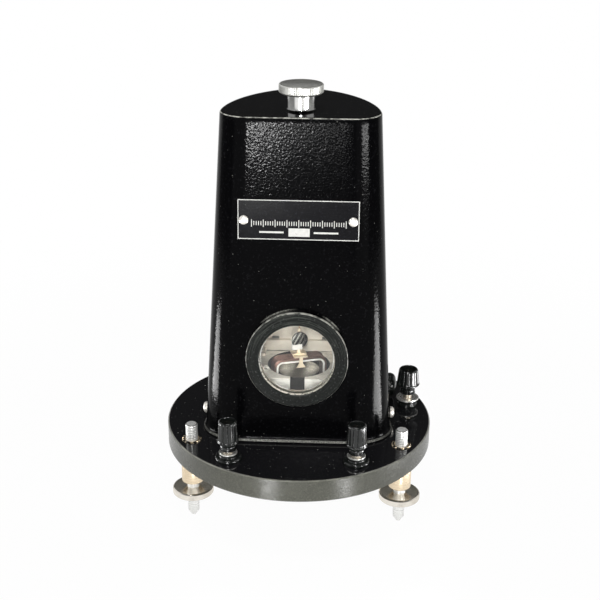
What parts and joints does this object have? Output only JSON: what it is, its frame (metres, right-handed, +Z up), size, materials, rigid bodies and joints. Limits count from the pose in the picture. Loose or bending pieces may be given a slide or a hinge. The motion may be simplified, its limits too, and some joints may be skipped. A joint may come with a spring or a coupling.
{
  "type": "ballistic galvanometer",
  "caption": "Suspended-coil mirror galvanometer in a tapered black case with a round window, on a round base with three levelling screws and three terminals.",
  "frame": {"origin": "middle of the object's box, on the surface the three screw points rest on; the round base's own axis is 1.75 mm in front of it", "axes": "+Z up, front with the window and plate faces -Y, +X is the right-hand side seen from the front"},
  "size_m": [0.178, 0.1816, 0.2854],
  "materials": {
    "gloss_enamel": "gloss black stove enamel",
    "crackle_enamel": "semi-gloss black enamel over a fine-grained casting",
    "brass": "turned brass, lightly tarnished",
    "nickel": "nickel plate",
    "steel": "bright machined steel",
    "soft_iron": "ground soft iron, nickel flashed",
    "magnet_alloy": "bare cast alloy magnet",
    "aluminium": "bright aluminium",
    "copper": "enamelled copper wire",
    "bronze": "phosphor bronze",
    "black_plastic": "moulded black phenolic",
    "plate_black": "black anodised plate",
    "plate_white": "white filled marks",
    "glass": "clear glass",
    "mirror": "silvered glass",
    "rubber": "soft black rubber",
    "pale_rubber": "aged pale rubber",
    "fibre": "vulcanised fibre",
    "grey_metal": "grey casting"
  },
  "bodies": {
    "frame": {"base_plate": "gloss_enamel", "levelling_bushes": "brass", "casing": "crackle_enamel", "window_bezel": "crackle_enamel", "window_gasket": "pale_rubber", "window_glass": "glass", "glass_retainer": "nickel", "nameplate": "plate_black", "nameplate_marks": "plate_white", "nameplate_screws": "nickel", "side_screws": "nickel", "casing_brackets": "grey_metal", "base_screws": "steel", "head_bush": "nickel", "head_nut": "brass", "ligament_spring": "bronze", "ligament_anchor": "brass", "anchor_insulator": "fibre", "magnet": "magnet_alloy", "pole_left": "soft_iron", "pole_right": "soft_iron", "core": "soft_iron", "core_bridge": "nickel", "back_plate": "nickel", "magnet_pillars": "brass", "bridge_screws": "nickel", "arrest_guides": "brass", "post_collars": "black_plastic", "post_washers": "nickel", "post_stems": "brass", "post_bushings": "fibre", "solder_tags": "nickel", "post_nuts": "brass"},
    "head": {"torsion_knob": "nickel", "head_spindle": "brass", "head_collar": "steel"},
    "coil": {"suspension_strip": "bronze", "mirror_stem": "brass", "mirror": "mirror", "mirror_holder": "aluminium", "coil_clip_top": "brass", "coil_former": "aluminium", "coil_winding": "copper", "coil_clip_bottom": "brass"},
    "arrest": {"arrest_knob": "black_plastic", "arrest_spindle": "steel"},
    "fork": {"arrest_fork": "brass", "arrest_pads": "rubber"},
    "screw_left": {"screw_left": "nickel"},
    "wheel_left": {"wheel_left": "nickel"},
    "liner_left": {"liner_left": "brass"},
    "cap_left": {"cap_left": "black_plastic"},
    "screw_right": {"screw_right": "nickel"},
    "wheel_right": {"wheel_right": "nickel"},
    "liner_right": {"liner_right": "brass"},
    "cap_right": {"cap_right": "black_plastic"},
    "screw_rear": {"screw_rear": "nickel"},
    "wheel_rear": {"wheel_rear": "nickel"},
    "liner_rear": {"liner_rear": "brass"},
    "cap_rear": {"cap_rear": "black_plastic"}
  },
  "joints": [
    {"name": "screw_left_rise", "type": "slide", "parent": "frame", "child": "screw_left", "axis": [0, 0, 1], "range_m": [-0.008, 0.003]},
    {"name": "wheel_left_turn", "type": "hinge", "parent": "screw_left", "child": "wheel_left", "pos_m": [-0.06842, -0.04125, 0.0195], "axis": [0, 0, 1], "range_deg": [-2304, 864]},
    {"name": "screw_right_rise", "type": "slide", "parent": "frame", "child": "screw_right", "axis": [0, 0, 1], "range_m": [-0.008, 0.003]},
    {"name": "wheel_right_turn", "type": "hinge", "parent": "screw_right", "child": "wheel_right", "pos_m": [0.06842, -0.04125, 0.0195], "axis": [0, 0, 1], "range_deg": [-2304, 864]},
    {"name": "screw_rear_rise", "type": "slide", "parent": "frame", "child": "screw_rear", "axis": [0, 0, 1], "range_m": [-0.008, 0.003]},
    {"name": "wheel_rear_turn", "type": "hinge", "parent": "screw_rear", "child": "wheel_rear", "pos_m": [0, 0.07725, 0.0195], "axis": [0, 0, 1], "range_deg": [-2304, 864]},
    {"name": "terminal_left_rise", "type": "slide", "parent": "frame", "child": "liner_left", "axis": [0, 0, 1], "range_m": [-0.0015, 0.007]},
    {"name": "terminal_left_turn", "type": "hinge", "parent": "liner_left", "child": "cap_left", "pos_m": [-0.04211, -0.06562, 0.0715], "axis": [0, 0, 1], "range_deg": [-540, 2520]},
    {"name": "terminal_right_rise", "type": "slide", "parent": "frame", "child": "liner_right", "axis": [0, 0, 1], "range_m": [-0.0015, 0.007]},
    {"name": "terminal_right_turn", "type": "hinge", "parent": "liner_right", "child": "cap_right", "pos_m": [0.03908, -0.06553, 0.0715], "axis": [0, 0, 1], "range_deg": [-540, 2520]},
    {"name": "terminal_rear_rise", "type": "slide", "parent": "frame", "child": "liner_rear", "axis": [0, 0, 1], "range_m": [-0.003, 0.005]},
    {"name": "terminal_rear_turn", "type": "hinge", "parent": "liner_rear", "child": "cap_rear", "pos_m": [0.07432, 0.01719, 0.0715], "axis": [0, 0, 1], "range_deg": [-1080, 1800]},
    {"name": "torsion_head", "type": "hinge", "parent": "frame", "child": "head", "pos_m": [0, -0.00975, 0.2815], "axis": [0, 0, 1], "range_deg": [-20, 20]},
    {"name": "coil_swing", "type": "hinge", "parent": "head", "child": "coil", "pos_m": [0, -0.00975, 0.1165], "axis": [0, 0, 1], "range_deg": [-28, 6], "stiffness_Nm_per_rad": 0.00002},
    {"name": "arrest_turn", "type": "hinge", "parent": "frame", "child": "arrest", "pos_m": [0.06, 0.02925, 0.066], "axis": [1, 0, 0], "range_deg": [0, 72]},
    {"name": "fork_lift", "type": "slide", "parent": "frame", "child": "fork", "axis": [0, 0, 1], "range_m": [0, 0.00141]}
  ],
  "couplings": [
    {"joint": "wheel_left_turn", "follows": "screw_left_rise", "rad_per_m": 5026.5},
    {"joint": "wheel_right_turn", "follows": "screw_right_rise", "rad_per_m": 5026.5},
    {"joint": "wheel_rear_turn", "follows": "screw_rear_rise", "rad_per_m": 5026.5},
    {"joint": "terminal_left_turn", "follows": "terminal_left_rise", "rad_per_m": 6283.2},
    {"joint": "terminal_right_turn", "follows": "terminal_right_rise", "rad_per_m": 6283.2},
    {"joint": "terminal_rear_turn", "follows": "terminal_rear_rise", "rad_per_m": 6283.2},
    {"joint": "arrest_turn", "follows": "fork_lift", "rad_per_m": 890}
  ]
}
